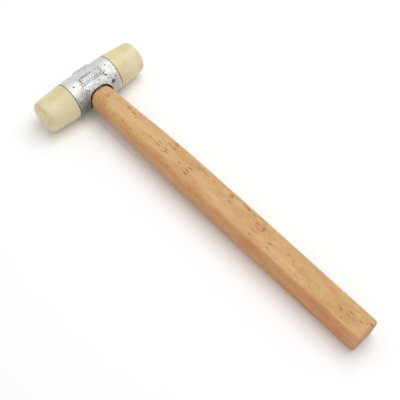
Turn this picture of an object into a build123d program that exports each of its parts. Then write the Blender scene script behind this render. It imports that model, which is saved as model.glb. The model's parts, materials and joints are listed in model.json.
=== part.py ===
# A jeweller's soft-faced hammer lying on a bench: a cast barrel head with a screw-in nylon
# face at each end, on a beech handle that is wedged into the head's eye.
#
# The barrel's axis is parallel to X. The handle runs from the head towards -Y and slopes down
# a little, because the hammer rests on the barrel's round and on the underside of its butt.
# The origin is on the bench, under the middle of the hammer's box. Millimetres, +Z up.
from build123d import *
import os
from math import asin, atan2, cos, hypot, radians, sin

os.makedirs("parts", exist_ok=True)

# ---- barrel casting ----
barrel_radius = 12.7          # a one-inch barrel
barrel_half_length = 17.9
rim_chamfer = 0.45
lip_height = 1.0              # raised rim round the far mouth of the eye
lip_width = 1.0
mouth_rounding = 0.6

# ---- eye: an oval hole right through the barrel ----
eye_half_width = 9.4          # along the barrel
eye_half_thickness = 7.9      # from flank to flank
eye_corner = 6.9

# ---- nameplate frame cast on the upper flank, round a blank field ----
plate_length = 16.8
plate_height = 5.9
plate_along = 0.4
plate_turn = 6.0              # degrees from the middle of the flank towards the handle
plate_band = 0.8
plate_proud = 0.3
plate_corner = 0.7

# ---- marks in the casting: along the barrel, degrees towards the handle, radius, depth ----
punch_mark = (-13.6, 7.9, 0.8, 0.4)
blow_holes = [
    (11.7, 62.5, 1.4, 0.8),
    (9.4, 32.4, 0.7, 0.3),
    (14.8, 51.4, 0.7, 0.3),
    (13.2, 5.4, 0.6, 0.25),
]

# ---- nylon faces ----
face_length = 21.9
face_base_radius = 12.6
face_tip_radius = 11.16
face_corner = 3.3
face_seat_chamfer = 0.3

# ---- studs that hold the faces: M8 headless screws with a hexagon socket ----
thread_radius = 4.0
stud_clearance = 0.05
socket_depth = 7.0            # tapped hole in the casting
stud_end_gap = 0.4
face_bore_depth = 12.0
stud_chamfer = 0.7
key_across_flats = 4.0
key_depth = 4.0

# ---- handle: distance from the barrel's axis, half width, half thickness, corner radius ----
handle_stations = [
    (-15.0, 9.08, 7.58, 7.30),
    (12.0, 9.05, 7.55, 7.25),
    (39.0, 9.45, 7.95, 6.90),
    (66.0, 9.92, 8.60, 5.60),
    (93.0, 9.90, 8.85, 4.50),
    (120.0, 9.78, 8.90, 3.90),
    (147.0, 9.66, 8.90, 3.60),
    (174.0, 9.55, 8.87, 3.50),
    (201.0, 9.43, 8.84, 3.40),
    (228.0, 9.32, 8.80, 3.40),
]
butt_distance = 240.9         # the last stretch keeps the last station's section
butt_rounding = 2.0
tenon_below_lip = 0.1

# ---- wedges driven into the far end of the tenon ----
wood_wedge_depth = 18.0
wood_wedge_head = 3.2         # thickness at the tenon's end
wood_wedge_toe = 0.9
steel_wedge_depth = 12.0
steel_wedge_width = 9.0
steel_wedge_head = 2.4
steel_wedge_toe = 0.6
steel_wedge_along = 2.0       # driven a little off the tenon's middle

# ---- how the hammer lies on the bench ----
butt_start, butt_half_width, butt_half_thickness, butt_corner = handle_stations[-1]
butt_reach = hypot(butt_distance, butt_half_thickness)
lie_angle = asin(barrel_radius / butt_reach) - atan2(butt_half_thickness, butt_distance)
far_reach = barrel_radius + lip_height
near_reach = butt_distance * cos(lie_angle) + butt_half_thickness * sin(lie_angle)
head_centre = Vector(0, (near_reach - far_reach) / 2, barrel_radius)
barrel_dir = Vector(1, 0, 0)
handle_dir = Vector(0, -cos(lie_angle), -sin(lie_angle))
flank_dir = Vector(0, -sin(lie_angle), cos(lie_angle))
barrel_axis = Axis(head_centre, barrel_dir)
handle_axis = Axis(head_centre, handle_dir)
clear_through = 3 * barrel_radius    # longer than any cut through the head


def across_handle(distance):
    """The plane square to the handle: X along the barrel, Y out of the upper flank."""
    return Plane(origin=head_centre + handle_dir * distance, x_dir=barrel_dir, z_dir=handle_dir)


def across_barrel(along):
    """The plane square to the barrel, seen from its +X end."""
    return Plane(origin=head_centre + barrel_dir * along, x_dir=handle_dir, z_dir=barrel_dir)


def along_both(along):
    """The plane that holds the handle's and the flank's directions: X towards the tenon's end."""
    return Plane(origin=head_centre + barrel_dir * along, x_dir=-handle_dir, z_dir=barrel_dir)


def on_flank(along, turn, radius):
    """The plane that touches a barrel of this radius, turned from the flank to the handle."""
    outward = flank_dir * cos(radians(turn)) + handle_dir * sin(radians(turn))
    point = head_centre + barrel_dir * along + outward * radius
    return Plane(origin=point, x_dir=barrel_dir, z_dir=outward)


profile_plane = across_handle(0)


# ---- head casting ----
# The lip is an oval boss trimmed to a round a little larger than the barrel.
with BuildPart() as eye_lip:
    with BuildSketch(profile_plane):
        RectangleRounded(
            2 * (eye_half_width + lip_width),
            2 * (eye_half_thickness + lip_width),
            eye_corner + lip_width,
        )
    extrude(amount=-clear_through)
    with BuildSketch(across_barrel(-barrel_half_length)):
        Circle(barrel_radius + lip_height)
    extrude(amount=2 * barrel_half_length, mode=Mode.INTERSECT)

# The nameplate frame is a band round a blank field, trimmed to its height above the barrel.
with BuildPart() as plate_frame:
    with BuildSketch(on_flank(plate_along, plate_turn, barrel_radius - 3 * plate_proud)):
        RectangleRounded(plate_length, plate_height, plate_corner)
        Rectangle(plate_length - 2 * plate_band, plate_height - 2 * plate_band, mode=Mode.SUBTRACT)
    extrude(amount=barrel_radius)
    with BuildSketch(across_barrel(-barrel_half_length)):
        Circle(barrel_radius + plate_proud)
    extrude(amount=2 * barrel_half_length, mode=Mode.INTERSECT)

with BuildPart() as head_casting:
    with BuildSketch(profile_plane):
        with BuildLine():
            Polyline(
                (-barrel_half_length, 0),
                (-barrel_half_length, barrel_radius - rim_chamfer),
                (-barrel_half_length + rim_chamfer, barrel_radius),
                (barrel_half_length - rim_chamfer, barrel_radius),
                (barrel_half_length, barrel_radius - rim_chamfer),
                (barrel_half_length, 0),
                close=True,
            )
        make_face()
    revolve(axis=barrel_axis)
    add(eye_lip.part)
    with BuildSketch(profile_plane):
        RectangleRounded(2 * eye_half_width, 2 * eye_half_thickness, eye_corner)
    extrude(amount=clear_through, both=True, mode=Mode.SUBTRACT)
    mouth_edges = (
        edges()
        .filter_by(lambda edge: edge.geom_type != GeomType.LINE)
        .filter_by(lambda edge: abs(edge.center().X) < eye_half_width)
        .filter_by(lambda edge: (edge.center() - head_centre).dot(handle_dir) > eye_half_thickness)
    )
    fillet(mouth_edges, mouth_rounding)
    add(plate_frame.part)
    for side in (-1, 1):
        with BuildSketch(across_barrel(side * (barrel_half_length - socket_depth))):
            Circle(thread_radius)
        extrude(amount=side * clear_through, mode=Mode.SUBTRACT)
    for along, turn, radius, depth in [punch_mark] + blow_holes:
        ball_radius = (radius**2 + depth**2) / (2 * depth)
        with Locations(on_flank(along, turn, barrel_radius - depth + ball_radius)):
            Sphere(ball_radius, mode=Mode.SUBTRACT)
head_casting.part.label = "head_casting"
export_step(head_casting.part, "parts/head_casting.step")

# ---- a nylon face and its stud at each end of the barrel ----
seat = barrel_half_length
tip = seat + face_length
stud_start = seat - socket_depth + stud_end_gap
stud_end = seat + face_bore_depth - stud_end_gap
stud_radius = thread_radius - stud_clearance
for side, end_name in ((-1, "left"), (1, "right")):
    with BuildPart() as nylon_face:
        with BuildSketch(profile_plane) as face_profile:
            with BuildLine():
                Polyline(
                    (side * seat, 0),
                    (side * seat, face_base_radius - face_seat_chamfer),
                    (side * (seat + face_seat_chamfer), face_base_radius),
                    (side * tip, face_tip_radius),
                    (side * tip, 0),
                    close=True,
                )
            make_face()
            tip_corner = face_profile.vertices().sort_by_distance((side * tip, face_tip_radius))[0]
            fillet(tip_corner, face_corner)
        revolve(axis=barrel_axis)
        with BuildSketch(across_barrel(side * seat)):
            Circle(thread_radius)
        extrude(amount=side * face_bore_depth, mode=Mode.SUBTRACT)
    nylon_face.part.label = "nylon_face_" + end_name
    export_step(nylon_face.part, "parts/nylon_face_" + end_name + ".step")

    with BuildPart() as face_stud:
        with BuildSketch(across_barrel(side * stud_start)):
            Circle(stud_radius)
        extrude(amount=side * (stud_end - stud_start))
        chamfer(face_stud.edges().filter_by(GeomType.CIRCLE), stud_chamfer)
        with BuildSketch(across_barrel(side * stud_start)):
            RegularPolygon(key_across_flats / 2, 6, major_radius=False)
        extrude(amount=side * key_depth, mode=Mode.SUBTRACT)
    face_stud.part.label = "face_stud_" + end_name
    export_step(face_stud.part, "parts/face_stud_" + end_name + ".step")

# ---- handle and wedges ----
# The tenon's end is ground to a round that follows the lip.
tenon_round = barrel_radius + lip_height - tenon_below_lip
with BuildPart() as end_waste:
    with BuildSketch(profile_plane):
        Rectangle(4 * eye_half_width, 4 * eye_half_width)
    extrude(amount=-clear_through)
    with BuildSketch(across_barrel(-clear_through)):
        Circle(tenon_round)
    extrude(amount=2 * clear_through, mode=Mode.SUBTRACT)

with BuildPart() as butt_block:
    with BuildSketch(across_handle(butt_start)):
        RectangleRounded(2 * butt_half_width, 2 * butt_half_thickness, butt_corner)
    extrude(amount=butt_distance - butt_start)
    fillet(butt_block.faces().sort_by(handle_axis)[-1].edges(), butt_rounding)

with BuildPart() as handle_blank:
    for distance, half_width, half_thickness, corner in handle_stations:
        with BuildSketch(across_handle(distance)):
            RectangleRounded(2 * half_width, 2 * half_thickness, corner)
    loft()
    add(butt_block.part)
    add(end_waste.part, mode=Mode.SUBTRACT)

# Both wedges taper from the tenon's end towards the handle; the steel one crosses the wooden one.
with BuildPart() as wood_taper:
    with BuildSketch(along_both(-eye_half_width)):
        with BuildLine():
            Polyline(
                (tenon_round - wood_wedge_depth, -wood_wedge_toe / 2),
                (tenon_round + lip_height, -wood_wedge_head / 2),
                (tenon_round + lip_height, wood_wedge_head / 2),
                (tenon_round - wood_wedge_depth, wood_wedge_toe / 2),
                close=True,
            )
        make_face()
    extrude(amount=2 * eye_half_width)
    add(handle_blank.part, mode=Mode.INTERSECT)

wedge_side = Plane(
    origin=head_centre - flank_dir * steel_wedge_width / 2,
    x_dir=-handle_dir,
    z_dir=flank_dir,
)
with BuildPart() as steel_wedge:
    with BuildSketch(wedge_side):
        with BuildLine():
            Polyline(
                (tenon_round - steel_wedge_depth, steel_wedge_along - steel_wedge_toe / 2),
                (tenon_round + lip_height, steel_wedge_along - steel_wedge_head / 2),
                (tenon_round + lip_height, steel_wedge_along + steel_wedge_head / 2),
                (tenon_round - steel_wedge_depth, steel_wedge_along + steel_wedge_toe / 2),
                close=True,
            )
        make_face()
    extrude(amount=steel_wedge_width)
    add(end_waste.part, mode=Mode.SUBTRACT)
steel_wedge.part.label = "steel_wedge"
export_step(steel_wedge.part, "parts/steel_wedge.step")

with BuildPart() as wooden_wedge:
    add(wood_taper.part)
    add(steel_wedge.part, mode=Mode.SUBTRACT)
wooden_wedge.part.label = "wooden_wedge"
export_step(wooden_wedge.part, "parts/wooden_wedge.step")

with BuildPart() as handle:
    add(handle_blank.part)
    add(wood_taper.part, mode=Mode.SUBTRACT)
    add(steel_wedge.part, mode=Mode.SUBTRACT)
handle.part.label = "handle"
export_step(handle.part, "parts/handle.step")
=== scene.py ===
import json
import math

import bmesh
import bpy
import numpy as np
from mathutils import Matrix, Vector


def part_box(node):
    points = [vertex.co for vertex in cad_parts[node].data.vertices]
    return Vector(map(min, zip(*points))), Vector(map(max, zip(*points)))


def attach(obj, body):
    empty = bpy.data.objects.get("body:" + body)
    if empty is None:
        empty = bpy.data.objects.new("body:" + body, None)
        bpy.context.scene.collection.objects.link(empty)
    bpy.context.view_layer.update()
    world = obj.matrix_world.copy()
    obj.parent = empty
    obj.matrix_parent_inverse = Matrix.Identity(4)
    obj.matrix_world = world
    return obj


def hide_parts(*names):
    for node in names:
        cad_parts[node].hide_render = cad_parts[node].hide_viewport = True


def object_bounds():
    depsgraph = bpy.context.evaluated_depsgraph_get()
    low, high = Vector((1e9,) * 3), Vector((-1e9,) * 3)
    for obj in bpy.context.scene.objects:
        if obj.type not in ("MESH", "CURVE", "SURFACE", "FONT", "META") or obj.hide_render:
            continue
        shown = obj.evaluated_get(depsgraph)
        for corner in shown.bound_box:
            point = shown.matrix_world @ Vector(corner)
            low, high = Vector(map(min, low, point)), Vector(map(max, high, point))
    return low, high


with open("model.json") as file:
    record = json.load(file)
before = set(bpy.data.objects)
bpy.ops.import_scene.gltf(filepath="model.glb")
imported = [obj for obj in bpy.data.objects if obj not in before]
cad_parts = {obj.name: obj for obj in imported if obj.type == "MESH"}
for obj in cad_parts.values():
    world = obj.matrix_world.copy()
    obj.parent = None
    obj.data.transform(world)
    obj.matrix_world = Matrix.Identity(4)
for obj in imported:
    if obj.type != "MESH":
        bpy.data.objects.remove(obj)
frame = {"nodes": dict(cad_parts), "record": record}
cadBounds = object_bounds()
print("frame loaded")

mm = 0.001
fullTurn = 2 * math.pi

# The hammer's own directions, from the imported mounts: x along the barrel, y out of the tenon's
# end, z out of the upper flank, all from the crossing of the barrel's axis and the handle's.
mounts = {mount["name"]: mount for mount in frame["record"]["mounts"]}
leftTip = np.array(mounts["striking_face_left"]["pos_m"])
rightTip = np.array(mounts["striking_face_right"]["pos_m"])
headCentre = (leftTip + rightTip) / 2
barrelDir = np.array(mounts["striking_face_right"]["axis"], float)
tenonDir = -np.array(mounts["butt_end"]["axis"], float)
flankDir = np.cross(barrelDir, tenonDir)
toolTurn = np.stack([barrelDir, tenonDir, flankDir])
headLength = float(rightTip[0] - leftTip[0]) / mm
buttDistance = float(np.linalg.norm(np.array(mounts["butt_end"]["pos_m"]) - headCentre)) / mm
castLow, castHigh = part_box("head_casting")
castHalf = (castHigh.x - castLow.x) / 2 / mm

barrel = {
    "radius": 12.7,
    "halfLength": castHalf,
    "rimChamfer": 0.45,
    "socketRadius": 4.0,
    "socketDepth": 7.0,
    "socketChamfer": 0.45,
    "lipHeight": 1.0,
    "lipWidth": 1.0,
    "lipFall": 0.35,          # how wide the lip's outer shoulder is
    "lipAside": 1.4,          # how far to the right the lip's middle lies
    "lipWhole": 4.6,          # it keeps its full height this far either way
    "lipEnd": 7.8,            # and is gone here
    "mouthRounding": 0.6,
    "tenonMouthShare": 0.6,   # the tenon's mouth is rounded by this share of that
    "stepAround": 150,        # grid intervals along half the barrel's round
    "stepAlong": 132,         # and along its length
    "stepOut": 51,            # and from the eye to the barrel's edge
    "wallRows": 8,            # rows down the eye's wall
    "mouthRows": 6,           # and round its mouth
}
eye = {"halfWidth": 9.4, "halfThickness": 7.9, "corner": 6.9}


def smoothStep(low, high, value):
    # three t squared less two t cubed, with t going from 0 at low to 1 at high
    t = np.clip((value - low) / (high - low), 0.0, 1.0)
    return t * t * (3.0 - 2.0 * t)


# the noise's lattice is tilted, so that no bump lines up with a piece's own directions
latticeTurn = np.array(
    Matrix.Rotation(0.63, 3, "X") @ Matrix.Rotation(0.47, 3, "Y") @ Matrix.Rotation(0.81, 3, "Z")
)


def latticeNoise(points, size, seed):
    # value noise: a random number from -1 to 1 at each corner of the lattice, blended smoothly
    # between them; the large odd numbers only scramble the corner's place and the seed
    cell = np.asarray(points, float) @ latticeTurn / size
    base = np.floor(cell).astype(np.int64)
    part = cell - base
    blend = part * part * (3.0 - 2.0 * part)
    total = np.zeros(cell.shape[:-1])
    for corner in range(8):
        offset = np.array([corner & 1, (corner >> 1) & 1, corner >> 2])
        node = (base + offset).astype(np.uint64)
        mixed = (
            node[..., 0] * np.uint64(73856093)
            ^ node[..., 1] * np.uint64(19349663)
            ^ node[..., 2] * np.uint64(83492791)
            ^ np.uint64(seed * 2654435761 % 2**32)
        ) & np.uint64(0xFFFFFFFF)
        mixed = ((mixed ^ (mixed >> np.uint64(15))) * np.uint64(2246822519)) & np.uint64(0xFFFFFFFF)
        mixed = ((mixed ^ (mixed >> np.uint64(13))) * np.uint64(3266489917)) & np.uint64(0xFFFFFFFF)
        value = (mixed ^ (mixed >> np.uint64(16))).astype(float) / 2**31 - 1.0
        weight = np.prod(np.where(offset == 1, blend, 1.0 - blend), axis=-1)
        total += weight * value
    return total


def roughness(points, size, octaves, seed):
    # lattice noise added to itself at half the size and half the strength, several times
    total = np.zeros(np.asarray(points).shape[:-1])
    for octave in range(octaves):
        total += latticeNoise(points, size / 2**octave, seed + octave) / 2**octave
    return total


def gridQuads(rows, columns):
    # a quad between neighbouring rows and columns, with the last column joined to the first
    row, column = np.meshgrid(np.arange(rows - 1), np.arange(columns), indexing="ij")
    after = (column + 1) % columns
    return np.stack(
        [
            row * columns + column,
            row * columns + after,
            (row + 1) * columns + after,
            (row + 1) * columns + column,
        ],
        -1,
    ).reshape(-1, 4)


def newPiece(name, grids, body, material, paint=None, weld=2e-6, smoothAngle=40):
    # grids are (points in hammer millimetres, quads), turned and moved to the bench's frame;
    # paint names numbers from 0 to 1, one for each point, which the materials read
    points = np.concatenate([np.asarray(p).reshape(-1, 3) for p, q in grids])
    shift = np.cumsum([0] + [np.asarray(p).reshape(-1, 3).shape[0] for p, q in grids[:-1]])
    quads = np.concatenate([q + s for (p, q), s in zip(grids, shift)])
    # high spots stop at the outer box of the plain solids, as if worn flat there
    placed = np.clip(points * mm @ toolTurn + headCentre, *np.array(cadBounds))
    mesh = bpy.data.meshes.new(name)
    mesh.from_pydata(placed, [], quads)
    for paintName, parts in (paint or {}).items():
        amounts = np.concatenate([np.ravel(part) for part in parts]).astype(np.float32)
        mesh.attributes.new(paintName, "FLOAT", "POINT").data.foreach_set("value", amounts)
    work = bmesh.new()
    work.from_mesh(mesh)
    bmesh.ops.remove_doubles(work, verts=work.verts, dist=weld)
    bmesh.ops.dissolve_degenerate(work, edges=work.edges, dist=weld / 4)
    bmesh.ops.recalc_face_normals(work, faces=work.faces)
    work.to_mesh(mesh)
    work.free()
    piece = bpy.data.objects.new(name, mesh)
    bpy.context.scene.collection.objects.link(piece)
    mesh.polygons.foreach_set("use_smooth", np.ones(len(mesh.polygons), bool))
    mesh.set_sharp_from_angle(angle=math.radians(smoothAngle))
    mesh.materials.append(material)
    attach(piece, body)
    return piece


def revolved(profile, count, side=1):
    # a profile of (distance along the barrel, radius) carried round the barrel's axis
    profile = np.asarray(profile, float)
    angle = np.arange(count) / count * fullTurn
    points = np.empty((len(profile), count, 3))
    points[..., 0] = side * profile[:, :1]
    points[..., 1] = profile[:, 1:] * np.cos(angle)
    points[..., 2] = profile[:, 1:] * np.sin(angle)
    return points


def alongPath(stations, spacing):
    # points at an even spacing along straight runs between the stations, which are all kept
    stations = np.asarray(stations, float)
    runs = []
    for start, end in zip(stations[:-1], stations[1:]):
        count = max(1, int(round(np.linalg.norm(end - start) / spacing)))
        runs.append(start + (end - start) * (np.arange(count) / count)[:, None])
    return np.concatenate(runs + [stations[-1:]])


def roundedSection(halfWidth, halfThickness, corner, perSide, perCorner):
    # a rectangle with round corners, as (x, z), the same number of points on each side and corner;
    # the three sizes are arrays, one for each section, and all sections are worked out together
    halfWidth, halfThickness, corner = (
        np.asarray(size, float)[:, None] for size in (halfWidth, halfThickness, corner)
    )
    flatX, flatZ = halfWidth - corner, halfThickness - corner
    xs, zs = [], []
    for signX, signZ, start in ((1, 1, 0), (-1, 1, 1), (-1, -1, 2), (1, -1, 3)):
        turn = (start + np.arange(perCorner) / perCorner) * fullTurn / 4
        xs.append(signX * flatX + corner * np.cos(turn))
        zs.append(signZ * flatZ + corner * np.sin(turn))
        share = np.arange(perSide) / perSide
        endTurn = (start + 1) * fullTurn / 4
        fromX = signX * flatX + corner * math.cos(endTurn)
        fromZ = signZ * flatZ + corner * math.sin(endTurn)
        if start % 2 == 0:
            xs.append(fromX - 2 * signX * flatX * share)
            zs.append(fromZ + 0 * share)
        else:
            xs.append(fromX + 0 * share)
            zs.append(fromZ - 2 * signZ * flatZ * share)
    return np.concatenate(xs, 1), np.concatenate(zs, 1)


class Shader:
    def __init__(self, name):
        # adds nodes to one material and joins them; each method returns its node's output
        self.material = bpy.data.materials.new(name)
        self.material.use_nodes = True
        self.tree = self.material.node_tree
        self.surface = self.tree.nodes["Principled BSDF"]
        self.place = self.add("ShaderNodeTexCoord").outputs["Object"]

    def add(self, kind, settings=None, **inputs):
        # a new node, with its settings and its inputs by name
        node = self.tree.nodes.new(kind)
        for key, value in (settings or {}).items():
            setattr(node, key, value)
        for key, value in inputs.items():
            self.feed(node.inputs[key.replace("_", " ")], value)
        return node

    def feed(self, socket, value):
        # a link where the value is another node's output, or else the constant itself
        if isinstance(value, bpy.types.NodeSocket):
            self.tree.links.new(value, socket)
        else:
            socket.default_value = value

    def mapped(self, scale=(1, 1, 1), turn=(0, 0, 0), move=(0, 0, 0), source=None):
        # the place scaled, turned and moved, which stretches a pattern along the grain or the thread
        node = self.add("ShaderNodeMapping")
        self.feed(node.inputs["Vector"], source or self.place)
        node.inputs["Location"].default_value = move
        node.inputs["Rotation"].default_value = turn
        node.inputs["Scale"].default_value = scale
        return node.outputs["Vector"]

    def painted(self, paintName):
        # a number painted on the piece's points
        return self.add("ShaderNodeAttribute", {"attribute_name": paintName}).outputs["Fac"]

    def noise(self, scale, detail=3.0, rough=0.55, distortion=0.0, vector=None):
        # a cloudy number about 0.5, of scale clouds to the metre
        node = self.add("ShaderNodeTexNoise")
        self.feed(node.inputs["Vector"], vector or self.place)
        node.inputs["Scale"].default_value = scale
        node.inputs["Detail"].default_value = detail
        node.inputs["Roughness"].default_value = rough
        node.inputs["Distortion"].default_value = distortion
        return node.outputs["Fac"]

    def cells(self, scale):
        # the distance from the middle of the nearest random cell
        node = self.add("ShaderNodeTexVoronoi")
        self.feed(node.inputs["Vector"], self.place)
        node.inputs["Scale"].default_value = scale
        return node.outputs["Distance"]

    def ramp(self, value, stops):
        # colours at their places along the value, with even changes between
        node = self.add("ShaderNodeValToRGB")
        while len(node.color_ramp.elements) < len(stops):
            node.color_ramp.elements.new(0.5)
        for element, (place, colour) in zip(node.color_ramp.elements, stops):
            element.position = place
            element.color = (*colour, 1.0)
        self.feed(node.inputs["Fac"], value)
        return node.outputs["Color"]

    def spread(self, value, low, high, toLow=0.0, toHigh=1.0):
        # the value's stretch from low to high made a smooth step between the two results
        node = self.add("ShaderNodeMapRange", {"interpolation_type": "SMOOTHSTEP"})
        self.feed(node.inputs["Value"], value)
        node.inputs["From Min"].default_value = low
        node.inputs["From Max"].default_value = high
        node.inputs["To Min"].default_value = toLow
        node.inputs["To Max"].default_value = toHigh
        return node.outputs["Result"]

    def maths(self, operation, first, second=0.0, third=0.0):
        # one sum on up to three numbers
        node = self.add("ShaderNodeMath", {"operation": operation})
        for socket, value in zip(node.inputs, (first, second, third)):
            self.feed(socket, value)
        return node.outputs["Value"]

    def mix(self, share, first, second, blend="MIX"):
        # two colours mixed by a share; the mix node's colours are its inputs 6 and 7 and its output 2
        node = self.add("ShaderNodeMix", {"data_type": "RGBA", "blend_type": blend})
        for place, value in ((0, share), (6, first), (7, second)):
            isColour = not isinstance(value, (bpy.types.NodeSocket, float))
            self.feed(node.inputs[place], (*value, 1.0) if isColour else value)
        return node.outputs[2]

    def bump(self, height, strength, distance, under=None):
        # the height as a bump, laid over the bump under it
        node = self.add("ShaderNodeBump")
        self.feed(node.inputs["Height"], height)
        node.inputs["Strength"].default_value = strength
        node.inputs["Distance"].default_value = distance
        if under is not None:
            self.feed(node.inputs["Normal"], under)
        return node.outputs["Normal"]

    def finish(self, colour=None, rough=None, normal=None, **constants):
        # the surface's colour, roughness and bump, and its constants by name
        for key, value in (("Base Color", colour), ("Roughness", rough), ("Normal", normal)):
            if value is not None:
                self.feed(self.surface.inputs[key], value)
        for key, value in constants.items():
            self.surface.inputs[key.replace("_", " ")].default_value = value
        return self.material


def fromSrgb(red, green, blue):
    # a display colour from 0 to 255 as linear light
    value = np.array([red, green, blue]) / 255.0
    linear = np.where(value <= 0.04045, value / 12.92, ((value + 0.055) / 1.055) ** 2.4)
    return tuple(float(part) for part in linear)


castLook = {
    "bright": fromSrgb(247, 248, 244),
    "middle": fromSrgb(241, 242, 239),
    "dull": fromSrgb(224, 225, 222),
    "vein": fromSrgb(142, 144, 142),
    # this dark colour serves both grime and painted shade
    "grimeAndShade": fromSrgb(56, 52, 46),
}


def castMetal():
    # pale patches, thin veins where a noise passes its middle, fine grains and dark specks, then
    # the painted grime and painted shade over all; what is dark is rougher too
    shade = Shader("rough_cast_metal")
    # the painted number holds both grime and painted shade
    grimeAndShade = shade.painted("grimeAndShade")
    patches = shade.noise(130.0, 3.0, 0.55, 0.5)
    skin = shade.noise(700.0, 4.0, 0.62, 0.9)
    grains = shade.noise(1900.0, 2.0, 0.6)
    tone = shade.ramp(
        patches,
        [(0.32, castLook["dull"]), (0.46, castLook["middle"]), (0.62, castLook["bright"])],
    )
    fromMiddle = shade.maths("ABSOLUTE", shade.maths("SUBTRACT", skin, 0.5))
    veins = shade.spread(fromMiddle, 0.0, 0.045, 0.55, 0.0)
    veins = shade.maths("MULTIPLY", veins, shade.spread(shade.noise(210.0, 2.0), 0.42, 0.58))
    tone = shade.mix(veins, tone, castLook["vein"])
    tone = shade.mix(shade.spread(grains, 0.3, 0.7, 0.28, 0.0), tone, castLook["vein"])
    crowd = shade.spread(shade.noise(330.0, 1.0), 0.5, 0.58)
    specks = shade.maths("MULTIPLY", shade.spread(shade.cells(760.0), 0.24, 0.12), crowd)
    dark = shade.maths("MAXIMUM", shade.maths("MULTIPLY", specks, 0.7), grimeAndShade)
    tone = shade.mix(dark, tone, castLook["grimeAndShade"])
    rough = shade.spread(patches, 0.3, 0.7, 0.64, 0.54)
    rough = shade.maths("ADD", rough, shade.maths("MULTIPLY", dark, 0.3))
    normal = shade.bump(skin, 0.55, 0.0005)
    normal = shade.bump(grains, 0.45, 0.00022, normal)
    normal = shade.bump(specks, -0.5, 0.0003, normal)
    return shade.finish(tone, rough, normal, Metallic=0.88)


nylonLook = {
    "pale": fromSrgb(222, 212, 174),
    "warm": fromSrgb(214, 199, 150),
    "scuff": fromSrgb(200, 184, 140),
    "grimeAndShade": fromSrgb(84, 76, 54),
}


def nylonSurface():
    # pale and warm clouds, scuff marks drawn out along the barrel, and the painted grime
    shade = Shader("cream_nylon")
    grimeAndShade = shade.painted("grimeAndShade")
    cloud = shade.noise(70.0, 3.0, 0.5, 0.3)
    fine = shade.noise(1100.0, 2.0, 0.5)
    tone = shade.mix(shade.spread(cloud, 0.35, 0.68), nylonLook["pale"], nylonLook["warm"])
    marks = shade.noise(260.0, 5.0, 0.7, 1.2, shade.mapped((1.0, 2.5, 2.5)))
    tone = shade.mix(shade.spread(marks, 0.6, 0.74, 0.0, 0.35), tone, nylonLook["scuff"])
    tone = shade.mix(grimeAndShade, tone, nylonLook["grimeAndShade"])
    rough = shade.spread(marks, 0.4, 0.75, 0.34, 0.52)
    normal = shade.bump(fine, 0.25, 0.00012)
    normal = shade.bump(marks, 0.25, 0.0003, normal)
    return shade.finish(
        tone,
        rough,
        normal,
        Subsurface_Weight=0.35,
        Subsurface_Radius=(1.0, 0.75, 0.45),
        Subsurface_Scale=0.0025,
        IOR=1.55,
    )


beechLook = {
    "light": fromSrgb(206, 165, 109),
    "base": fromSrgb(194, 147, 91),
    "deep": fromSrgb(174, 122, 70),
    "shadedSide": (1.0, 0.83, 0.81),   # what the shaded side's colour is multiplied by, as painted shade
    "headEnd": (1.07, 1.12, 1.28),     # and what it is multiplied by towards the head
    "ray": fromSrgb(102, 52, 8),
    "red": fromSrgb(204, 118, 68),
    "end": fromSrgb(150, 108, 74),
    # the colour of the painted shade at the eye's mouth
    "grimeAndShade": fromSrgb(58, 36, 20),
    "heart": (-0.055, 0.0, -0.075),    # where the tree's middle lies from the handle, in metres
    "lean": (0.012, 0.0, 0.02),        # how the grain runs out along the handle
}


def flecks(shade, place, size, share, thin):
    # flat lens-shaped cells, long with the grain; only a share of them is kept, each by its own number
    scaled = shade.mapped(tuple(1.0 / side for side in size), source=place)
    cell = shade.add("ShaderNodeTexVoronoi", Vector=scaled, Scale=1.0)
    pick = shade.add("ShaderNodeSeparateColor", Color=cell.outputs["Color"]).outputs["Red"]
    kept = shade.maths("GREATER_THAN", pick, 1.0 - share)
    return shade.maths("MULTIPLY", shade.spread(cell.outputs["Distance"], thin, 0.5 * thin), kept)


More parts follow.
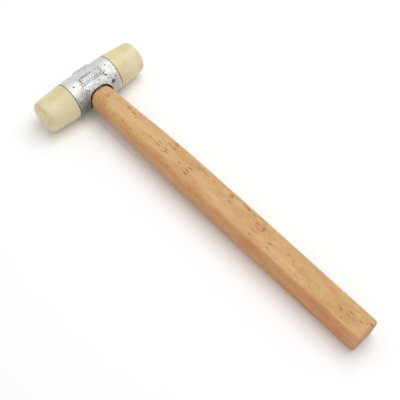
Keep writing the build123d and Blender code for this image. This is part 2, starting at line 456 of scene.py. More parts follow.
def beechWood(name="oiled_beech", dark=1.0):
    # streaks and broad bands along a slightly leaning grain, faint rings about the tree's middle,
    # red blushes, rays, and on the cut ends pores; dark multiplies the whole
    shade = Shader(name)
    # the first two painted numbers are painted shade: at the eye's mouth and on the handle's left side
    grimeAndShade, shadedSide, endGrain = (shade.painted(each) for each in ("grimeAndShade", "shadedSide", "endGrain"))
    place = shade.add("ShaderNodeSeparateXYZ", Vector=shade.place)
    tilted = shade.mapped((1, 1, 1), beechLook["lean"], beechLook["heart"])
    streaks = shade.noise(1.0, 4.0, 0.6, 0.4, shade.mapped((1100.0, 42.0, 1100.0), source=tilted))
    broad = shade.noise(1.0, 3.0, 0.6, 0.9, shade.mapped((95.0, 26.0, 95.0), source=tilted))
    mottle = shade.noise(230.0, 3.0, 0.65, 0.6)
    tone = shade.mix(shade.spread(broad, 0.36, 0.64), beechLook["base"], beechLook["light"])
    tone = shade.mix(shade.spread(streaks, 0.42, 0.8, 0.0, 0.3), tone, beechLook["deep"])
    tone = shade.mix(shade.spread(mottle, 0.5, 0.7, 0.0, 0.26), tone, beechLook["deep"])
    ringKind = {"wave_type": "RINGS", "rings_direction": "Y", "wave_profile": "SAW"}
    rings = shade.add("ShaderNodeTexWave", ringKind)
    shade.feed(rings.inputs["Vector"], tilted)
    rings.inputs["Scale"].default_value = 95.0
    rings.inputs["Distortion"].default_value = 2.4
    rings.inputs["Detail"].default_value = 2.0
    rings.inputs["Detail Scale"].default_value = 0.5
    ringTone = shade.maths("MULTIPLY_ADD", endGrain, 0.5, 0.12)
    ringTone = shade.maths("MULTIPLY", shade.spread(rings.outputs["Fac"], 0.6, 1.0), ringTone)
    tone = shade.mix(ringTone, tone, beechLook["deep"])
    towardHead = shade.spread(place.outputs["Y"], -0.1, 0.12)
    tone = shade.mix(towardHead, tone, shade.mix(1.0, tone, beechLook["headEnd"], "MULTIPLY"))
    blush = shade.mapped((260.0, 110.0, 260.0), move=(3.0, 1.0, 2.0))
    blush = shade.noise(1.0, 2.0, 0.5, 0.0, blush)
    tone = shade.mix(shade.spread(blush, 0.63, 0.74, 0.0, 0.5), tone, beechLook["red"])
    # painted shade: the handle's left side is darker and redder
    tone = shade.mix(shadedSide, tone, shade.mix(1.0, tone, beechLook["shadedSide"], "MULTIPLY"))
    # rays: many faint short ones, fewer dark ones in loose groups, and now and then a long hair
    middle = shade.spread(shade.maths("ABSOLUTE", place.outputs["X"]), 0.0085, 0.0065)
    small = flecks(shade, tilted, (0.0007, 0.0026, 0.0018), 0.3, 0.34)
    short = flecks(shade, tilted, (0.0008, 0.0056, 0.003), 0.3, 0.44)
    group = shade.noise(1.0, 1.0, 0.5, 0.0, shade.mapped((60.0, 90.0, 60.0)))
    group = shade.spread(group, 0.48, 0.55)
    short = shade.maths("MULTIPLY", short, shade.maths("MULTIPLY", group, middle))
    hairs = shade.maths("MULTIPLY", flecks(shade, tilted, (0.0011, 0.026, 0.008), 0.09, 0.32), middle)
    short = shade.maths("MULTIPLY", short, 0.95)
    marks = shade.maths("MAXIMUM", short, shade.maths("MULTIPLY", hairs, 0.5))
    tone = shade.mix(shade.maths("MULTIPLY", small, 0.2), tone, beechLook["ray"])
    tone = shade.mix(marks, tone, beechLook["ray"])
    pores = shade.spread(shade.cells(2600.0), 0.3, 0.15, 0.0, 0.6)
    ends = shade.mix(pores, beechLook["end"], beechLook["ray"])
    tone = shade.mix(shade.maths("MULTIPLY", endGrain, 0.6), tone, ends)
    # painted shade: the wood at the eye's mouth is darkened
    tone = shade.mix(grimeAndShade, tone, beechLook["grimeAndShade"])
    if dark != 1.0:
        tone = shade.mix(1.0, tone, (dark, dark, dark), "MULTIPLY")
    rough = shade.spread(streaks, 0.3, 0.8, 0.42, 0.58)
    normal = shade.bump(streaks, 0.3, 0.0002)
    normal = shade.bump(marks, -0.4, 0.00015, normal)
    return shade.finish(tone, rough, normal, IOR=1.45)


def steelSurface(name, colour, roughLow, roughHigh):
    # a cloudy grey with fine marks drawn round the barrel's axis, which vary the roughness
    shade = Shader(name)
    cloud = shade.noise(300.0, 4.0, 0.6)
    fine = shade.noise(1.0, 3.0, 0.6, 0.0, shade.mapped((500.0, 4000.0, 4000.0)))
    tone = shade.mix(shade.spread(cloud, 0.35, 0.7), colour, tuple(0.72 * v for v in colour))
    rough = shade.spread(fine, 0.3, 0.7, roughLow, roughHigh)
    normal = shade.bump(fine, 0.2, 0.00006)
    return shade.finish(tone, rough, normal, Metallic=1.0)


castMaterial = castMetal()
nylonMaterial = nylonSurface()
beechMaterial = beechWood()
wedgeWoodMaterial = beechWood("dark_wedge_wood", 0.55)
studMaterial = steelSurface("stud_steel", (0.32, 0.32, 0.34), 0.28, 0.42)
wedgeSteelMaterial = steelSurface("wedge_steel", (0.45, 0.45, 0.46), 0.35, 0.55)
print("materials made")

nameplate = {  # millimetres, and its turn in degrees from the upper flank
    "along": 0.4, "turn": 7.5, "halfLength": 9.1, "halfHeight": 3.35,
    "corner": 0.5, "band": 0.8, "proud": 0.32, "edge": 0.22,
    "lineAside": 0.1, "lineWidth": 0.26,      # the dirt line on both sides of the band
    "fieldDrop": 0.06, "relief": 0.14,        # the field's depth and its pattern's height
    "cell": 2.35, "latticeFrom": -0.8,
    "boxAt": 4.6, "boxStretch": 1.5, "boxSizes": (1.0, 2.0),
}
punchMark = {"along": -13.6, "turn": 7.9, "radius": 0.75, "depth": 0.4, "halo": 1.4, "haloDepth": 0.1}
blowHoles = [  # along the barrel, degrees from the flank to the handle, radius, depth
    (11.7, 62.5, 1.5, 0.6),
    (9.4, 32.4, 0.75, 0.35),
    (14.8, 51.4, 0.8, 0.4),
    (13.2, 5.4, 0.65, 0.3),
]
smallHoles = {"count": 80, "seed": 17, "radius": (0.2, 0.42), "depth": 0.22}
castSkin = {  # heights and lengths in millimetres, turns in degrees
    "lump": 0.014, "lumpSize": 3.4, "pebble": 0.026, "pebbleSize": 0.8, "pebblePower": 1.3,
    "wrinkle": 0.05, "wrinkleSize": 1.3, "wrinkleWarp": 0.9, "wrinkleWarpSize": 2.4,
    "ripple": 0.06, "rippleLength": 1.25, "rippleStretch": 1.05,
    "eddyAlong": -10.2, "eddyTurn": 44.0, "eddyLength": 1.05,
    "seamTurn": 100.0, "seamHeight": 0.16, "seamWidth": 0.35,
}
castDarkening = {  # how dark each place is painted, from 0 to 1; the handle side and the eye's wall are painted shade
    "crease": 0.42, "frameLine": 0.48, "frameLineVaries": 0.22, "relief": 0.46,
    # the eye's wall is painted shade
    "ripple": 0.4, "eddy": 0.5, "hole": 0.72, "punch": 0.8, "eyeWallShade": 0.85, "joint": 0.85,
    # painted shade on the handle side, more on its left
    "handleSideShade": 0.16, "handleSideLeftShade": 0.38,
}


def eyeOutline(count):
    # the eye's rounded rectangle as (x, z), with the z side unrolled to arc length on the barrel
    x, z = roundedSection(
        [eye["halfWidth"]], [eye["halfThickness"]], [eye["corner"]], count, 4 * count
    )
    return x[0], barrel["radius"] * np.arcsin(z[0] / barrel["radius"])


outlineX, outlineArc = eyeOutline(60)
outlineAngle = np.arctan2(outlineArc, outlineX)
outlineReach = np.hypot(outlineX, outlineArc)
outlineOrder = np.argsort(outlineAngle)
outlineAngle, outlineReach = outlineAngle[outlineOrder], outlineReach[outlineOrder]


def scatterHoles():
    # small blow holes at random, three in five of them crowded beside the eye on the right
    draw = np.random.default_rng(smallHoles["seed"])
    count = smallHoles["count"]
    crowded = np.arange(count) % 5 < 3
    along = np.where(crowded, draw.uniform(3.0, 17.0, count), draw.uniform(-17.0, 17.0, count))
    turn = np.where(crowded, draw.uniform(18.0, 88.0, count), draw.uniform(-180.0, 180.0, count))
    radius = draw.uniform(*smallHoles["radius"], count)
    return [(*hole, smallHoles["depth"]) for hole in zip(along, turn, radius)]


allHoles = blowHoles + scatterHoles()


def skinHeight(points):
    # how far the cast surface stands above the plain barrel, and how dark with grime and painted shade
    # it is; turn is the angle round the barrel, from the upper flank (0) to the handle (90)
    x, y, z = points[..., 0], points[..., 1], points[..., 2]
    turn = np.degrees(np.arctan2(-y, z))
    height = castSkin["lump"] * roughness(points, castSkin["lumpSize"], 2, 11)
    pebble = roughness(points, castSkin["pebbleSize"], 3, 23)
    height = height + castSkin["pebble"] * np.sign(pebble) * np.abs(pebble) ** castSkin["pebblePower"]

    # wrinkles: thin grooves where a warped noise passes through zero, in patches
    warp = latticeNoise(points, castSkin["wrinkleWarpSize"], 3)[..., None]
    warped = points + castSkin["wrinkleWarp"] * warp
    crease = np.abs(latticeNoise(warped, castSkin["wrinkleSize"], 47))
    crease = smoothStep(0.16, 0.0, crease) * smoothStep(-0.25, 0.35, latticeNoise(points, 5.5, 53))

    # the frame: a band inside the rounded outline, found from the distance to it
    across = np.radians(turn - nameplate["turn"]) * barrel["radius"]
    cornerX = np.abs(x - nameplate["along"]) - (nameplate["halfLength"] - nameplate["corner"])
    cornerZ = np.abs(across) - (nameplate["halfHeight"] - nameplate["corner"])
    outside = np.hypot(np.maximum(cornerX, 0), np.maximum(cornerZ, 0))
    distance = outside + np.minimum(np.maximum(cornerX, cornerZ), 0) - nameplate["corner"]
    band = smoothStep(0.0, -nameplate["edge"], distance)
    band = band * smoothStep(-nameplate["band"] - nameplate["edge"], -nameplate["band"], distance)
    field = smoothStep(-nameplate["band"], -nameplate["band"] - nameplate["edge"], distance)
    crease = crease * (1 - band)
    height = height - castSkin["wrinkle"] * crease
    height = height * (1 - 0.6 * band) + nameplate["proud"] * band - nameplate["fieldDrop"] * field
    innerLine = -nameplate["band"] - nameplate["edge"] - nameplate["lineAside"]
    outline = np.exp(-(((distance - nameplate["lineAside"]) / nameplate["lineWidth"]) ** 2))
    outline = outline + np.exp(-(((distance - innerLine) / nameplate["lineWidth"]) ** 2))

    # the field's plain relief: a lattice of bars on the right, and two boxes one inside the other
    fromMiddle = x - nameplate["along"]
    u, v = fromMiddle / nameplate["cell"], across / nameplate["cell"]
    lattice = np.minimum(np.abs((u + v) % 1.0 - 0.5), np.abs((u - v) % 1.0 - 0.5)) * nameplate["cell"]
    box = np.maximum(np.abs(fromMiddle + nameplate["boxAt"]) / nameplate["boxStretch"], np.abs(across))
    innerBox, outerBox = nameplate["boxSizes"]
    boxes = np.minimum(np.abs(box - innerBox), np.abs(box - outerBox))
    bars = np.where(fromMiddle > nameplate["latticeFrom"], lattice, boxes)
    height = height + nameplate["relief"] * field * smoothStep(0.3, 0.55, bars)
    grimeAndShade = castDarkening["crease"] * crease * (1 - 0.5 * field)
    grimeAndShade = grimeAndShade + outline * (
        castDarkening["frameLine"] + castDarkening["frameLineVaries"] * latticeNoise(points, 1.3, 59)
    )
    uneven = 0.8 + 0.4 * latticeNoise(points, 1.1, 97)
    grimeAndShade = grimeAndShade + castDarkening["relief"] * field * smoothStep(0.4, 0.2, bars) * uneven

    # flow ripples beside the eye, left by the metal as it ran together
    arc = np.radians(turn - 90.0) * barrel["radius"]
    ring = np.hypot(x / castSkin["rippleStretch"], arc)
    ripple = np.sin(ring / castSkin["rippleLength"] * fullTurn + 2.0 * latticeNoise(points, 4.0, 5))
    patch = smoothStep(9.6, 10.4, ring) * smoothStep(14.5, 12.5, ring)
    patch = patch * smoothStep(-0.2, 0.15, np.cos(np.radians(turn - 90)))
    patch = patch * smoothStep(-0.2, 0.5, latticeNoise(points, 5.0, 9) - 0.4 * np.sign(x))
    height = height + castSkin["ripple"] * ripple * patch
    grimeAndShade = grimeAndShade + castDarkening["ripple"] * patch * smoothStep(-0.35, -0.9, ripple)

    # an eddy of its own, further from the eye
    arc = np.radians(turn - castSkin["eddyTurn"]) * barrel["radius"]
    ring = np.hypot(x - castSkin["eddyAlong"], arc)
    ripple = np.sin((ring + 0.25 * latticeNoise(points, 1.7, 67)) / castSkin["eddyLength"] * fullTurn)
    patch = smoothStep(4.2, 2.8, ring)
    height = height + castSkin["ripple"] * ripple * patch
    grimeAndShade = grimeAndShade + castDarkening["eddy"] * patch * smoothStep(-0.3, -0.9, ripple)

    # painted shade: the handle side is painted darker towards the mould's parting seam, more on the
    # left of the handle
    shaded = castDarkening["handleSideShade"] + castDarkening["handleSideLeftShade"] * smoothStep(2.0, -8.0, x)
    grimeAndShade = grimeAndShade + smoothStep(34.0, 80.0, turn) * shaded
    seam = np.radians(turn - castSkin["seamTurn"]) * barrel["radius"]
    ridge = np.exp(-((seam / castSkin["seamWidth"]) ** 2))
    height = height + castSkin["seamHeight"] * ridge * (0.7 + 0.4 * latticeNoise(points, 1.6, 31))

    # holes: their distance wobbles, so that no rim is a true circle
    wobble = 1 + 0.22 * latticeNoise(points, 0.8, 41)
    for along, turnAt, radius, depth in allHoles:
        reach = np.hypot(x - along, np.radians(turn - turnAt) * barrel["radius"]) * wobble
        height = height - depth * smoothStep(radius, 0.5 * radius, reach)
        grimeAndShade = np.maximum(grimeAndShade, castDarkening["hole"] * smoothStep(radius, 0.75 * radius, reach))
    # the punched mark: a pit in the middle of a shallow hollow
    radius = punchMark["radius"]
    reach = np.hypot(x - punchMark["along"], np.radians(turn - punchMark["turn"]) * barrel["radius"])
    height = height - punchMark["haloDepth"] * smoothStep(punchMark["halo"], radius, reach)
    height = height - punchMark["depth"] * smoothStep(radius, 0.3 * radius, reach)
    grimeAndShade = np.maximum(grimeAndShade, castDarkening["punch"] * smoothStep(radius, 0.6 * radius, reach))
    return height, np.clip(grimeAndShade, 0.0, 1.0)


def lipShape(x):
    # the lip's share of its full height: whole along the eye's middle, dying away to its ends
    return smoothStep(barrel["lipEnd"], barrel["lipWhole"], np.abs(x - barrel["lipAside"]))


def barrelHalf(side):
    # half the barrel's skin, on the tenon's side (1) or the handle's (-1): rays from the eye's
    # outline to the edge of the unrolled half, after a wall down the eye and a rounded mouth
    radius = barrel["radius"]
    edgeX = barrel["halfLength"] - barrel["rimChamfer"]
    edgeArc = radius * fullTurn / 4
    along = np.linspace(-1, 1, barrel["stepAlong"] + 1)[:-1]
    around = np.linspace(-1, 1, barrel["stepAround"] + 1)[:-1]
    endX, sideArc = edgeX + 0 * around, edgeArc + 0 * along
    boundX = np.concatenate([endX, -along * edgeX, -endX, along * edgeX])
    boundArc = np.concatenate([around * edgeArc, sideArc, -around * edgeArc, -sideArc])
    angle = np.arctan2(boundArc, boundX)
    inner = np.interp(angle, outlineAngle, outlineReach, period=fullTurn)
    outer = np.hypot(boundX, boundArc)
    rounding = barrel["mouthRounding"] * (1.0 if side < 0 else barrel["tenonMouthShare"])

    wall = np.linspace(0, 1, barrel["wallRows"])
    bend = np.linspace(0, fullTurn / 4, barrel["mouthRows"])[1:]
    share = np.linspace(0, 1, barrel["stepOut"] + 1)[1:]
    share = 0.35 * share + 0.65 * share**1.5  # closer together at the eye than at the edge
    offset = np.concatenate(
        [
            np.zeros((len(wall), len(angle))),
            rounding * (1 - np.cos(bend))[:, None] + 0 * angle,
            rounding + share[:, None] * (outer - inner - rounding),
        ]
    )
    drop = np.concatenate([rounding + 0 * wall, rounding * (1 - np.sin(bend)), 0 * share])[:, None]
    reach = inner + offset
    x, arc = reach * np.cos(angle), reach * np.sin(angle)
    turn = arc / radius
    base = np.stack([x, side * radius * np.cos(turn), radius * np.sin(turn)], -1)
    normal = np.stack([0 * x, side * np.cos(turn), np.sin(turn)], -1)
    height, grimeAndShade = skinHeight(base)
    lift = np.zeros_like(x)
    if side > 0:
        lipReach = offset - barrel["lipWidth"]
        lipRound = radius + barrel["lipHeight"] * lipShape(x)
        lipTop = np.sqrt(np.maximum(lipRound**2 - base[..., 2] ** 2, 0)) - base[..., 1]
        lift = lipTop * smoothStep(barrel["lipFall"], 0.0, lipReach)
        height = height * (1 - 0.5 * smoothStep(barrel["lipFall"], 0.0, lipReach))
    points = base + normal * (height * smoothStep(-0.01, rounding + 0.6, offset))[..., None]
    points[..., 1] += side * (lift - drop)
    top = points[len(wall) - 1, :, 1]
    points[: len(wall), :, 1] = wall[:, None] * top
    # painted shade: the eye's wall is painted black as shadow, which reaches a little over its mouth
    inEye = smoothStep(0.9 * rounding, 0.2 * rounding, offset)
    return points, np.maximum(grimeAndShade, castDarkening["eyeWallShade"] * inEye)


def barrelEnd(side):
    # the rim's chamfer, the seat and the tapped hole, carried round the barrel's axis
    half, radius = barrel["halfLength"], barrel["radius"]
    chamfer, hole = barrel["rimChamfer"], barrel["socketRadius"]
    floorAt = half - barrel["socketDepth"]
    profile = alongPath(
        [
            (half - chamfer, radius),
            (half, radius - chamfer),
            (half, hole + barrel["socketChamfer"]),
            (half - barrel["socketChamfer"], hole),
            (floorAt, hole),
            (floorAt - 0.9, 0.0),
        ],
        0.6,
    )
    count = 2 * barrel["stepAround"]
    points = revolved(profile, count, side)
    fade = smoothStep(half, half - chamfer, profile[:, 0])
    fade = fade * smoothStep(radius - 2.5, radius, profile[:, 1])
    normal = points * np.array([0, 1, 1])
    normal = normal / np.maximum(np.linalg.norm(normal, axis=-1, keepdims=True), 1e-9)
    onBarrel = normal * radius + points * np.array([1, 0, 0])
    onSeat = ((profile[:, 0] > half - 0.01) & (profile[:, 1] > hole + 0.6))[:, None]
    height, grimeAndShade = skinHeight(onBarrel)
    points = points + normal * (height * fade[:, None])[..., None]
    points[..., 0] += side * onSeat * (0.03 * roughness(points, 0.7, 2, 61) - 0.02)
    inJoint = smoothStep(half - 0.75 * chamfer, half, profile[:, 0])
    inJoint = inJoint * smoothStep(radius - 2.4, radius - 0.9, profile[:, 1])
    return points, np.maximum(grimeAndShade * fade[:, None], castDarkening["joint"] * inJoint[:, None])


castGrids = []
castGrimeAndShade = []
for side in (-1, 1):
    for skin, grimeAndShade in (barrelHalf(side), barrelEnd(side)):
        castGrids.append((skin, gridQuads(*skin.shape[:2])))
        castGrimeAndShade.append(grimeAndShade)
castPaint = {"grimeAndShade": castGrimeAndShade}
casting = newPiece(
    "cast_head", castGrids, "head_and_handle", castMaterial, castPaint, weld=1.5e-5
)
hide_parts("head_casting")
print("casting", len(casting.data.polygons))

face = {
    "length": headLength / 2 - castHalf,
    "baseRadius": 12.6, "tipRadius": 11.16, "corner": 3.3, "seatChamfer": 0.4,
    "boreRadius": 4.0, "boreDepth": 12.0, "boreChamfer": 0.4, "boreCone": 0.8,
    "cornerRows": 15, "columns": 192, "wave": 0.035, "grain": 0.012, "dent": 0.22, "proud": 0.05,
}
stud = {
    "radius": 3.95, "pitch": 1.25, "threadDepth": 0.68, "start": castHalf - 6.6,
    "end": castHalf + 11.6, "chamfer": 0.7, "keyFlats": 4.0, "keyDepth": 4.0, "columns": 96,
    "rowSpacing": 0.104, "crestShare": 0.12, "flankShare": 0.7,
}


def nylonFace(side, seed):
    # seat, taper, rounded corner and striking face as a profile, then slight dents from use
    seat, tip = castHalf, castHalf + face["length"]
    slope = (face["tipRadius"] - face["baseRadius"]) / (face["length"] - face["seatChamfer"])
    # the corner's arc is tangent to the taper and to the flat face
    tilt = math.atan(-slope)
    centreX = tip - face["corner"]
    taperAt = face["tipRadius"] - slope * (tip - centreX)
    centreR = taperAt - face["corner"] / math.cos(tilt)
    arc = np.linspace(tilt, fullTurn / 4, face["cornerRows"])
    corner = face["corner"] * np.stack([np.sin(arc), np.cos(arc)], -1) + np.array([centreX, centreR])
    boreFloor, bore, boreChamfer = seat + face["boreDepth"], face["boreRadius"], face["boreChamfer"]
    profile = np.concatenate(
        [
            alongPath([(boreFloor + face["boreCone"], 0.0), (boreFloor, bore)], 0.8),
            alongPath([(boreFloor, bore), (seat + boreChamfer, bore)], 0.8)[1:],
            alongPath(
                [
                    (seat, bore + boreChamfer),
                    (seat, face["baseRadius"] - face["seatChamfer"]),
                    (seat + face["seatChamfer"], face["baseRadius"]),
                    tuple(corner[0]),
                ],
                0.5,
            )[:-1],
            corner,
            alongPath([(tip, centreR), (tip, 0.0)], 0.5)[1:],
        ]
    )
    points = revolved(profile, face["columns"], side)
    reach, radius = profile[:, 0], profile[:, 1]
    outer = (radius > bore + 1.2) | (reach > tip - 0.5)
    shape = face["wave"] * roughness(points, 5.0, 2, seed)
    shape = shape + face["grain"] * roughness(points, 1.1, 2, seed + 7)
    dent = np.maximum(latticeNoise(points, 2.3, seed + 3) - 0.5, 0)
    dent = dent * smoothStep(tip - 4.5, tip - 1.5, reach)[:, None]
    shape = (shape - face["dent"] * dent) * (outer * smoothStep(seat + 0.3, seat + 1.2, reach))[:, None]
    # the shape is pushed out from the axis, and near the tip from a point inside the face
    inside = tip - 6.0
    toward = points - np.array([side * inside, 0, 0])
    toward[..., 0] = np.where(points[..., 0] * side < inside, 0.0, toward[..., 0])
    toward = toward / np.maximum(np.linalg.norm(toward, axis=-1, keepdims=True), 1e-9)
    points = points + toward * np.minimum(shape, face["proud"])[..., None]
    inJoint = smoothStep(seat + 0.9 * face["seatChamfer"], seat + 0.2 * face["seatChamfer"], reach)
    inJoint = inJoint * smoothStep(face["baseRadius"] - 2.2, face["baseRadius"] - 0.7, radius)
    grimeAndShade = np.maximum(0.8 * inJoint[:, None], np.clip(0.5 * dent, 0, 0.16))
    return points, grimeAndShade


def faceStud(side):
    # a right-hand thread: the radius swings between crest and root with the pitches travelled less
    # the turns made; the socket's flats are a hexagon, its radius one over the cosine of the turn
    start, end, radius = stud["start"], stud["end"], stud["radius"]
    shank = alongPath([(start, 0), (end, 0)], stud["rowSpacing"])[:, 0]
    angle = np.arange(stud["columns"]) / stud["columns"] * fullTurn
    phase = (shank[:, None] - start) / stud["pitch"] - angle / fullTurn
    wave = np.abs((phase % 1.0) - 0.5) * 2.0
    tooth = np.clip((wave - stud["crestShare"]) / stud["flankShare"], 0, 1)
    full = radius - stud["threadDepth"] * (1 - tooth)
    lead = radius - stud["chamfer"] + np.minimum(shank - start, end - shank)
    body = np.minimum(full, np.maximum(lead, radius - stud["threadDepth"] - 0.02)[:, None])
    body[0] = body[-1] = radius - stud["chamfer"]
    flats = (stud["keyFlats"] / 2) / np.cos((angle + fullTurn / 12) % (fullTurn / 6) - fullTurn / 12)
    keyRows = np.array([(start, 1.06), (start + 0.2, 1.0), (start + stud["keyDepth"], 1.0)])
    x = np.concatenate([[start + stud["keyDepth"] + 0.9], keyRows[::-1, 0], shank, [end]])
    rows = np.concatenate([[0 * flats], keyRows[::-1, 1:] * flats, body, [0 * flats]])
    points = np.empty((len(x), len(angle), 3))
    points[..., 0] = side * x[:, None]
    points[..., 1] = rows * np.cos(side * angle)
    points[..., 2] = rows * np.sin(side * angle)
    return points


for side, endName, seed in ((-1, "left", 101), (1, "right", 202)):
    skin, grimeAndShade = nylonFace(side, seed)
    quads = gridQuads(*skin.shape[:2])
    nylon = newPiece(
        "nylon_" + endName, [(skin, quads)], endName + "_face", nylonMaterial, {"grimeAndShade": [grimeAndShade]}
    )
    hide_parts("nylon_face_" + endName)
    skin = faceStud(side)
    quads = gridQuads(*skin.shape[:2])
    screw = newPiece("stud_" + endName, [(skin, quads)], endName + "_stud", studMaterial)
    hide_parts("face_stud_" + endName)
    print(endName, "nylon", len(nylon.data.polygons), "stud", len(screw.data.polygons))

handle = {
    "stations": [  # distance from the barrel's axis, half width, half thickness, corner radius
        (-15.0, 9.08, 7.58, 7.30),
        (12.0, 9.05, 7.55, 7.25),
        (39.0, 9.45, 7.95, 6.90),
        (66.0, 9.92, 8.60, 5.60),
        (93.0, 9.90, 8.85, 4.50),
        (120.0, 9.78, 8.90, 3.90),
        (147.0, 9.66, 8.90, 3.60),
        (174.0, 9.55, 8.87, 3.50),
        (201.0, 9.43, 8.84, 3.40),
        (228.0, 9.32, 8.80, 3.40),
    ],
    "end": buttDistance,
    "rounding": 2.0,          # of the butt's edge
    "tenonRound": 13.6,       # the tenon's end is this far from the barrel's axis
    "tenonDrop": 0.75,        # and lower by this where there is no lip
    "spacing": 1.0,
    "perSide": 14,
    "perCorner": 14,
    "undulation": 0.05,
    "neckedBy": 0.22,         # the tenon is turned down by this much to go into the eye
}


def smoothThrough(places, values, wanted):
    # cubic runs through the values, with each slope the mean of its two neighbours' slopes
    places, values = np.asarray(places, float), np.asarray(values, float)
    slope = np.gradient(values, places)
    k = np.clip(np.searchsorted(places, wanted) - 1, 0, len(places) - 2)
    gap = places[k + 1] - places[k]
    t = np.clip((wanted - places[k]) / gap, 0, 1)
    return (
        (2 * t**3 - 3 * t**2 + 1) * values[k]
        + (t**3 - 2 * t**2 + t) * gap * slope[k]
        + (3 * t**2 - 2 * t**3) * values[k + 1]
        + (t**3 - t**2) * gap * slope[k + 1]
    )


def tenonEnd(x, z):
    # a round about the barrel's axis, a little lower where the lip dies away
    reach = handle["tenonRound"] - handle["tenonDrop"] * (1 - lipShape(x))
    return np.sqrt(reach**2 - z**2)


def handleSkin():
    # rounded sections carried along the handle; the butt's edge is rounded by shrinking the last
    # sections along a quarter circle, and the tenon's end follows the lip's round
    table = np.array(handle["stations"])
    end, rounding = handle["end"], handle["rounding"]
    bend = np.linspace(0, fullTurn / 4, 9)[1:]
    run = np.linspace(-handle["tenonRound"], end - rounding, int(end / handle["spacing"]))
    distance = np.concatenate([run, end - rounding + rounding * np.sin(bend)])
    shrink = np.concatenate([0 * run, rounding * (1 - np.cos(bend))])
    width, thick, corner = (
        smoothThrough(table[:, 0], table[:, k], np.minimum(distance, table[-1, 0])) for k in (1, 2, 3)
    )
    necked = handle["neckedBy"] * smoothStep(24.0, 13.0, distance)
    width, thick, corner = width - necked, thick - necked, corner - necked
    corner = np.maximum(corner - shrink, 0.8)
    x, z = roundedSection(
        width - shrink, thick - shrink, corner, handle["perSide"], handle["perCorner"]
    )
    y = -distance[:, None] + 0 * x
    # the rows in the eye are pulled back in proportion, so that the end follows the lip's round
    roundEnd = tenonEnd(x[0], z[0])
    y = np.where(y > 0, y * roundEnd / handle["tenonRound"], y)
    points = np.stack([x, y, z], -1)
    away = points * np.array([1, 0, 1])
    away = away / np.maximum(np.linalg.norm(away, axis=-1, keepdims=True), 1e-9)
    wave = handle["undulation"] * roughness(points * np.array([1, 0.35, 1]), 9.0, 2, 71)
    wave = wave * smoothStep(10.0, 25.0, distance)[:, None]
    points = points + away * np.minimum(wave, 0.06)[..., None]
    caps = []
    inward = np.linspace(1, 0, 13)[1:, None]
    for ring, sign in ((points[0], 1), (points[-1], -1)):
        capX, capZ = inward * ring[:, 0], inward * ring[:, 2]
        if sign > 0:
            capY = tenonEnd(capX, capZ)
        else:
            capY = ring[:, 1] + 0 * capX
        caps.append(np.stack([capX, capY, capZ], -1))
    points = np.concatenate([caps[0][::-1], points, caps[1]])
    x, y, z = points[..., 0], points[..., 1], points[..., 2]
    # the wood just inside the eye is painted dark as shade; the left side is painted darker and redder
    # as shade up to the edge of the top, sharply at the butt and softly at the neck; the butt's face is
    # end grain
    clear = np.hypot(y, z) - barrel["radius"]
    grimeAndShade = 0.9 * smoothStep(0.55, 0.1, clear) * smoothStep(-3.0, -1.0, clear) * (y < 0)
    atButt = smoothStep(70.0, 200.0, -y)
    wander = 0.45 * latticeNoise(points * np.array([0.0, 1.0, 0.0]), 7.0, 83)
    width = 0.25 + 2.6 * (1 - atButt)
    shadedSide = smoothStep(width, -width, x + 6.9 + 0.6 * (1 - atButt) + wander)
    endGrain = smoothStep(handle["end"] - 0.5, handle["end"] - 0.05, -y)
    endGrain = np.maximum(endGrain, smoothStep(0.4, 0.1, tenonEnd(x, z) - y))
    return points, {"grimeAndShade": [grimeAndShade], "shadedSide": [shadedSide], "endGrain": [endGrain]}


skin, handlePaint = handleSkin()
quads = gridQuads(*skin.shape[:2])
grip = newPiece("beech_handle", [(skin, quads)], "head_and_handle", beechMaterial, handlePaint)
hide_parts("handle")

kerfRoom = (1.006, 1.05, 1.03, 1)  # how much larger than the wedge its place is, each way


def cutKerf(wedgeName):
    # a copy of the wedge, a hair larger about its own middle, is taken out of the handle
    cutMesh = frame["nodes"][wedgeName].data.copy()
    work = bmesh.new()
    work.from_mesh(cutMesh)
    bmesh.ops.remove_doubles(work, verts=work.verts, dist=1e-6)
    middle = sum((vertex.co for vertex in work.verts), Vector()) / len(work.verts)
    larger = Matrix.Translation(middle) @ Matrix.Diagonal(kerfRoom) @ Matrix.Translation(-middle)
    bmesh.ops.transform(work, matrix=larger, verts=work.verts)
    work.to_mesh(cutMesh)
    work.free()
    cutter = bpy.data.objects.new("cutter", cutMesh)
    bpy.context.scene.collection.objects.link(cutter)
    cut = grip.modifiers.new("kerf", "BOOLEAN")
    cut.operation = "DIFFERENCE"
    cut.solver = "EXACT"
    cut.object = cutter
    bpy.context.view_layer.update()
    evaluated = grip.evaluated_get(bpy.context.evaluated_depsgraph_get())
    finished = bpy.data.meshes.new_from_object(evaluated)
    grip.modifiers.remove(cut)
    grip.data = finished
    bpy.data.objects.remove(cutter)


# the wedges keep their plain solids, with materials of their own
for wedgeName, material in (("wooden_wedge", wedgeWoodMaterial), ("steel_wedge", wedgeSteelMaterial)):
    cutKerf(wedgeName)
    frame["nodes"][wedgeName].data.materials.clear()
    frame["nodes"][wedgeName].data.materials.append(material)
grip.data.set_sharp_from_angle(angle=math.radians(40))
print("handle", len(grip.data.polygons))

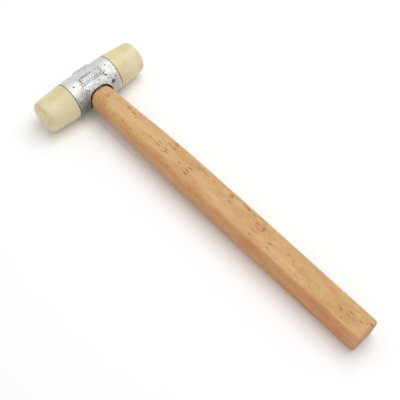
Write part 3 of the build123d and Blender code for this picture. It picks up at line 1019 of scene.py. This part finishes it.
view = {
    "azimuth": 45.2, "elevation": 59.93, "roll": 1.56,    # degrees: along +Y turned to +X, down
    "aimAlong": -113.86, "aimAside": -6.7, "distance": 446.7, "lens": 65.15,
}
aim = Vector(headCentre + mm * (barrelDir * view["aimAside"] + tenonDir * view["aimAlong"]))
azimuth, elevation = math.radians(view["azimuth"]), math.radians(view["elevation"])
looking = Vector(
    (
        math.sin(azimuth) * math.cos(elevation),
        math.cos(azimuth) * math.cos(elevation),
        -math.sin(elevation),
    )
)
cameraData = bpy.data.cameras.new("camera")
cameraData.lens = view["lens"]
cameraData.clip_start = 0.01
camera = bpy.data.objects.new("camera", cameraData)
camera.location = aim - looking * view["distance"] * mm
camera.rotation_euler = (
    looking.to_track_quat("-Z", "Y").to_matrix() @ Matrix.Rotation(math.radians(view["roll"]), 3, "Z")
).to_euler()
bpy.context.scene.collection.objects.link(camera)
bpy.context.scene.camera = camera

floorHalf, floorDrop = 3.0, 0.0002  # metres
floorCorners = [(x * floorHalf, y * floorHalf, 0) for x, y in ((-1, -1), (1, -1), (1, 1), (-1, 1))]
floorMesh = bpy.data.meshes.new("floor")
floorMesh.from_pydata(floorCorners, [], [(0, 1, 2, 3)])
floor = bpy.data.objects.new("floor", floorMesh)
floor.location = (0, 0, -floorDrop)
bpy.context.scene.collection.objects.link(floor)
floorShade = Shader("pale_floor")
floorMesh.materials.append(floorShade.finish((0.97, 0.97, 0.97, 1.0), 0.9))

lamps = {  # place from the hammer's middle in metres, size, watts, colour
    "softbox": ((0.32, 0.03, 0.84), 0.7, 4.1, (1.0, 0.998, 0.99)),
}
for lampName, (place, size, power, colour) in lamps.items():
    lampData = bpy.data.lights.new(lampName, "AREA")
    lampData.size = size
    lampData.energy = power
    lampData.color = colour
    lamp = bpy.data.objects.new(lampName, lampData)
    lamp.location = place
    lamp.rotation_euler = (-Vector(place)).to_track_quat("-Z", "Y").to_euler()
    bpy.context.scene.collection.objects.link(lamp)

world = bpy.data.worlds.new("studio")
world.use_nodes = True
world.node_tree.nodes["Background"].inputs["Color"].default_value = (1.0, 1.0, 1.0, 1.0)
world.node_tree.nodes["Background"].inputs["Strength"].default_value = 0.68
bpy.context.scene.world = world
bpy.context.scene.view_settings.view_transform = "Standard"
print("stage set")
